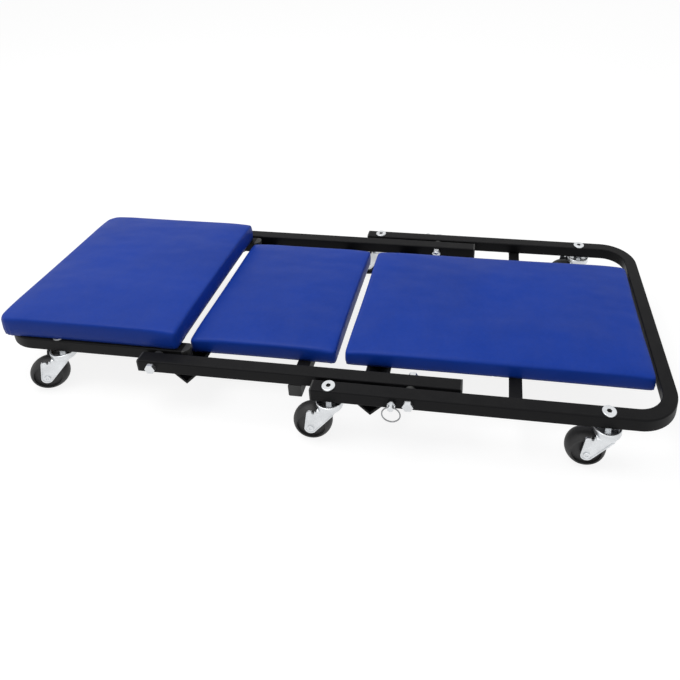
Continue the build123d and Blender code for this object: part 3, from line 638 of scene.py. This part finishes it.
def dip_corners(mesh, low, high, depth):
    """Pulls the foam down towards each corner, most at its upper edge."""
    for vertex in mesh.vertices:
        to_end = min(vertex.co.x - low.x, high.x - vertex.co.x)
        to_side = min(vertex.co.y - low.y, high.y - vertex.co.y)
        near = max(0, 1 - Vector((to_end, to_side)).length / DIP_REACH)
        level = min(1, max(0, (vertex.co.z - low.z) / (high.z - low.z)))
        vertex.co.z -= depth * near * near * level


def turn_under(mesh, low, high, hem):
    """Lays the underside flat: a hem of vinyl under the board, and the rest drawn up into it."""
    under = [v for v in mesh.vertices if v.co.z < low.z + UNDERSIDE_HEIGHT and v.normal.z < UNDERSIDE_SLOPE]
    for vertex in under:
        inside = edge_distance(low, high, vertex.co) > hem
        vertex.co.z = low.z + BOARD_RISE if inside else low.z - HEM_DROP


def make_cushion(name, settings, material):
    """One upholstered cushion, in place of its plain solid."""
    body, *radii = CUSHIONS[name]
    low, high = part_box(name)
    mesh = swollen(cushion_block(low, high, radii, settings.crown), low, high, settings)
    gather_corners(mesh, low, high, radii)
    dip_corners(mesh, low, high, settings.corner_dip)
    turn_under(mesh, low, high, settings.hem)
    piece = new_piece(f"{name}_cover", mesh, material, body)
    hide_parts(name)
    return piece


# Small metal parts


def sweep_bar(work, points, radii, across, sides=6):
    """A closed bar along some points, with its own radius at each one."""
    rings = []
    for index, point in enumerate(points):
        along = (points[min(index + 1, len(points) - 1)] - points[max(index - 1, 0)]).normalized()
        up = along.cross(across).normalized()
        ring = []
        for side in range(sides):
            turn = 2 * pi * side / sides
            ring.append(work.verts.new(point + radii[index] * (cos(turn) * across + sin(turn) * up)))
        rings.append(ring)
    for first, second in zip(rings, rings[1:]):
        for i in range(sides):
            j = (i + 1) % sides
            work.faces.new((first[i], first[j], second[j], second[i]))
    work.faces.new(list(reversed(rings[0])))
    work.faces.new(rings[-1])


def add_staple(work, centre, along):
    """One staple: a flat crown 10 mm long, with its legs turned up into the board."""
    points = [centre + along * step / 1000 + Vector((0, 0, height / 1000)) for step, height in STAPLE_OUTLINE]
    sweep_bar(work, points, [STAPLE_RADIUS / 1000] * len(points), Vector((-along.y, along.x, 0)))


def staple_row(work, start, end, pitch):
    """Staples at an even pitch along one side, each one a little askew."""
    run = end - start
    count = max(2, round(run.length / pitch))
    for index in range(count):
        askew = STAPLE_ASKEW * sin(5.3 * index + 40 * run.length)
        along = Matrix.Rotation(askew, 3, "Z") @ run.normalized()
        add_staple(work, start + run * (index + 0.5) / count, along)


def make_staples(name, settings, material):
    """The staples that hold one cushion's hem to its board."""
    body = CUSHIONS[name][0]
    low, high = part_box(name)
    inset = STAPLE_PLACE * settings.hem
    z = low.z - HEM_DROP
    corners = [Vector((x, y, z)) for x, y in (
        (low.x + inset, low.y + inset), (high.x - inset, low.y + inset),
        (high.x - inset, high.y - inset), (low.x + inset, high.y - inset))]
    work = bmesh.new()
    for start, end in zip(corners, corners[1:] + corners[:1]):
        staple_row(work, start, end, settings.staple_pitch)
    return new_piece(f"{name}_staples", finish_mesh(work, "staples"), material, body)


def make_sockets(group, body, material):
    """Painted shade in a group of socket heads: dark hexagonal cups just inside the sockets."""
    work = bmesh.new()
    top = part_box(group)[1].z
    for place in CASTERS_OF[group]:
        low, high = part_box(f"stem_{place}")
        x, y = (low.x + high.x) / 2, (low.y + high.y) / 2
        rings = []
        for reach, depth in SOCKET_LEVELS:
            turns = [pi * k / 3 + pi / 6 for k in range(6)]
            ring = [(x + reach * cos(turn), y + reach * sin(turn), top - depth) for turn in turns]
            rings.append([work.verts.new(corner) for corner in ring])
        for first, second in zip(rings, rings[1:]):
            for i in range(6):
                work.faces.new((first[i], first[(i + 1) % 6], second[(i + 1) % 6], second[i]))
        work.faces.new(rings[-1])
    mesh = bpy.data.meshes.new("sockets")
    work.to_mesh(mesh)
    work.free()
    piece = new_piece(f"{group}_sockets", mesh, material, body)
    for polygon in mesh.polygons:
        polygon.use_smooth = False
    return piece


def add_bead(work, x, y_from, y_to, z):
    """One weld bead along Y: a rounded ridge with the ripples of the weld, tapered at its ends."""
    steps = max(6, round(abs(y_to - y_from) / BEAD_STEP))
    points, radii = [], []
    for step in range(steps + 1):
        share = step / steps
        wander = BEAD_WANDER * sin(9.1 * step + 300 * x)
        points.append(Vector((x + wander, y_from + (y_to - y_from) * share, z)))
        taper = min(1, BEAD_END_SHARE + BEAD_END_SLOPE * min(share, 1 - share))
        radii.append((BEAD_RADIUS + BEAD_RIPPLE * sin(1.9 * step)) * taper)
    sweep_bar(work, points, radii, Vector((1, 0, 0)), 10)


def make_welds(body, material):
    """The beads under the rails along both edges of each cross member."""
    work = bmesh.new()
    for owner, member, rail, drop in WELDS:
        if owner != body:
            continue
        low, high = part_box(member)
        rail_low, rail_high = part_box(rail)
        tube = rail_high.z - rail_low.z
        outer = -rail_low.y
        z = rail_low.z - drop
        inner = outer - tube + BEAD_INNER_MARGIN
        end = min(high.y, outer - BEAD_MARGIN) - BEAD_MARGIN
        for x in (low.x, high.x):
            for side in (-1, 1):
                add_bead(work, x, side * inner, side * end, z)
    return new_piece(f"{body}_welds", finish_mesh(work, "welds"), material, body)


# Operators


class SEAT_OT_frame(bpy.types.Operator):
    """Finish the tubes, angle irons, strap and end plugs"""
    bl_idname = "seat.frame"
    bl_label = "Frame"

    def execute(self, context):
        coat = powder_coat(context.scene.seat_finish)
        dress(PAINTED, coat)
        dress(PLASTIC, moulded_plastic())
        for body in ("base", "middle"):
            make_welds(body, coat)
        return {"FINISHED"}


class SEAT_OT_hardware(bpy.types.Operator):
    """Finish the bolts, nuts, washers, screws, lock pins and pull rings"""
    bl_idname = "seat.hardware"
    bl_label = "Hardware"

    def execute(self, context):
        plate = zinc_plate(context.scene.seat_finish)
        forks = [name for name in NODES if name.startswith(("stem_", "fork_", "axle_"))]
        dress(list(PLATED) + forks, plate)
        # Zinc at 0.42 of its brightness: painted shade on the head caster bolts, a duller plate on the pull
        # rings
        dress(SHADED_BOLTS_AND_DULL_RINGS, zinc_plate(context.scene.seat_finish, "shaded_and_dull_zinc", 0.42))
        dress(SCREWS, black_oxide())
        dress(BALLS, bearing_steel())
        # Dark cups of painted shade inside the caster bolts' sockets
        socket_shade = socket_painted_shade()
        make_sockets("base_caster_bolts", "base", socket_shade)
        make_sockets("head_caster_bolts", "head", socket_shade)
        return {"FINISHED"}


class SEAT_OT_wheels(bpy.types.Operator):
    """Finish the caster wheels"""
    bl_idname = "seat.wheels"
    bl_label = "Wheels"

    def execute(self, context):
        dress([name for name in NODES if name.startswith("wheel_")], wheel_rubber(context.scene.seat_finish))
        return {"FINISHED"}


class SEAT_OT_boards(bpy.types.Operator):
    """Finish the plywood boards"""
    bl_idname = "seat.boards"
    bl_label = "Boards"

    def execute(self, context):
        dress(BOARDS, plywood(context.scene.seat_finish))
        return {"FINISHED"}


class SEAT_OT_cushions(bpy.types.Operator):
    """Upholster the three cushions"""
    bl_idname = "seat.cushions"
    bl_label = "Cushions"

    def execute(self, context):
        settings = context.scene.seat_upholstery
        cover = vinyl(settings)
        wire = zinc_plate(context.scene.seat_finish)
        for name in CUSHIONS:
            make_cushion(name, settings, cover)
            make_staples(name, settings, wire)
        return {"FINISHED"}


class SEAT_OT_stage(bpy.types.Operator):
    """Lay the floor, light the studio and set the camera"""
    bl_idname = "seat.stage"
    bl_label = "Stage"

    def execute(self, context):
        settings = context.scene.seat_studio
        lay_floor(settings)
        light_studio(settings)
        set_camera()
        context.scene.view_settings.view_transform = "Standard"
        return {"FINISHED"}


# Stage


def seen_directly(tree):
    """1 where a ray from the camera, a reflection or a clear material meets the surface."""
    path = add(tree, "ShaderNodeLightPath")
    seen = path.outputs["Is Camera Ray"]
    for kind in ("Is Glossy Ray", "Is Transmission Ray"):
        seen = add(tree, "ShaderNodeMath", {0: seen, 1: path.outputs[kind]}, operation="MAXIMUM").outputs[0]
    return seen


def lay_floor(settings):
    """A white floor that keeps the object's shadow."""
    size = 30.0
    mesh = bpy.data.meshes.new("floor")
    corner_places = [(-size, -size, 0), (size, -size, 0), (size, size, 0), (-size, size, 0)]
    mesh.from_pydata(corner_places, [], [(0, 1, 2, 3)])
    floor = bpy.data.objects.new("floor", mesh)
    bpy.context.scene.collection.objects.link(floor)
    material, tree, shader = start_material("pale_floor", Roughness=0.9, Specular_IOR_Level=0.0)
    shader.inputs["Base Color"].default_value = (*settings.floor, 1)
    shader.inputs["Emission Color"].default_value = (1, 1, 1, 1)
    lift = add(tree, "ShaderNodeMath", {0: seen_directly(tree), 1: settings.lift}, operation="MULTIPLY")
    tree.links.new(lift.outputs[0], shader.inputs["Emission Strength"])
    mesh.materials.append(material)


def lamp(name, place, target, size, power):
    """A large soft lamp that looks at a point."""
    data = bpy.data.lights.new(name, "AREA")
    data.shape, data.size, data.energy = "SQUARE", size, power
    light = bpy.data.objects.new(name, data)
    light.location = place
    light.rotation_euler = (Vector(target) - Vector(place)).to_track_quat("-Z", "Y").to_euler()
    bpy.context.scene.collection.objects.link(light)


def light_studio(settings):
    """Even light from all around, a large key lamp overhead and a weak one in front."""
    world = bpy.data.worlds.new("studio")
    bpy.context.scene.world = world
    world.use_nodes = True
    tree = world.node_tree
    background = tree.nodes["Background"]
    background.inputs["Color"].default_value = (1, 1, 1, 1)
    strength = scaled(tree, seen_directly(tree), settings.daylight, 1.0)
    tree.links.new(strength, background.inputs["Strength"])
    lamp("key lamp", (-0.7, -0.1, 2.2), (0, 0, 0.06), 1.4, settings.key)
    lamp("front lamp", (0.6, -2.2, 1.3), (0, 0, 0.06), 1.2, settings.key * 0.15)


def set_camera():
    """The camera of the reference view."""
    level = cos(CAMERA_PITCH)
    forward = Vector((sin(CAMERA_YAW) * level, cos(CAMERA_YAW) * level, sin(CAMERA_PITCH)))
    right = Vector((cos(CAMERA_YAW), -sin(CAMERA_YAW), 0))
    down = forward.cross(right)
    right, down = (cos(CAMERA_ROLL) * right + sin(CAMERA_ROLL) * down,
                   cos(CAMERA_ROLL) * down - sin(CAMERA_ROLL) * right)
    data = bpy.data.cameras.new("reference view")
    data.sensor_width = SENSOR_WIDTH
    data.lens = CAMERA_FOCAL_SHARE * SENSOR_WIDTH
    data.shift_x, data.shift_y = CAMERA_SHIFT
    camera = bpy.data.objects.new("reference view", data)
    turn = Matrix((right, -down, -forward)).transposed().to_4x4()
    camera.matrix_world = Matrix.Translation(CAMERA_PLACE) @ turn
    bpy.context.scene.collection.objects.link(camera)
    bpy.context.scene.camera = camera


class SEAT_PT_panel(bpy.types.Panel):
    """Lists the seat's pieces and its stage"""
    bl_idname = "SEAT_PT_panel"
    bl_label = "Mechanic seat"
    bl_space_type = "VIEW_3D"
    bl_region_type = "UI"
    bl_category = "Mechanic seat"

    def draw(self, context):
        for operator in OPERATORS:
            self.layout.operator(operator.bl_idname)


OPERATORS = (SEAT_OT_frame, SEAT_OT_hardware, SEAT_OT_wheels, SEAT_OT_boards, SEAT_OT_cushions, SEAT_OT_stage)
SETTINGS = {
    "seat_upholstery": UpholsterySettings,
    "seat_finish": FinishSettings,
    "seat_studio": StudioSettings,
}
CLASSES = (*SETTINGS.values(), *OPERATORS, SEAT_PT_panel)


def register():
    for cls in CLASSES:
        bpy.utils.register_class(cls)
    for name, group in SETTINGS.items():
        setattr(bpy.types.Scene, name, bpy.props.PointerProperty(type=group))


def unregister():
    for name in SETTINGS:
        delattr(bpy.types.Scene, name)
    for cls in reversed(CLASSES):
        bpy.utils.unregister_class(cls)


def corners(box):
    """A box as plain lists of numbers."""
    return [list(corner) for corner in box]


def main():
    register()
    for operator in OPERATORS:
        group, name = operator.bl_idname.split(".")
        getattr(getattr(bpy.ops, group), name)()


if __name__ == "__main__":
    main()
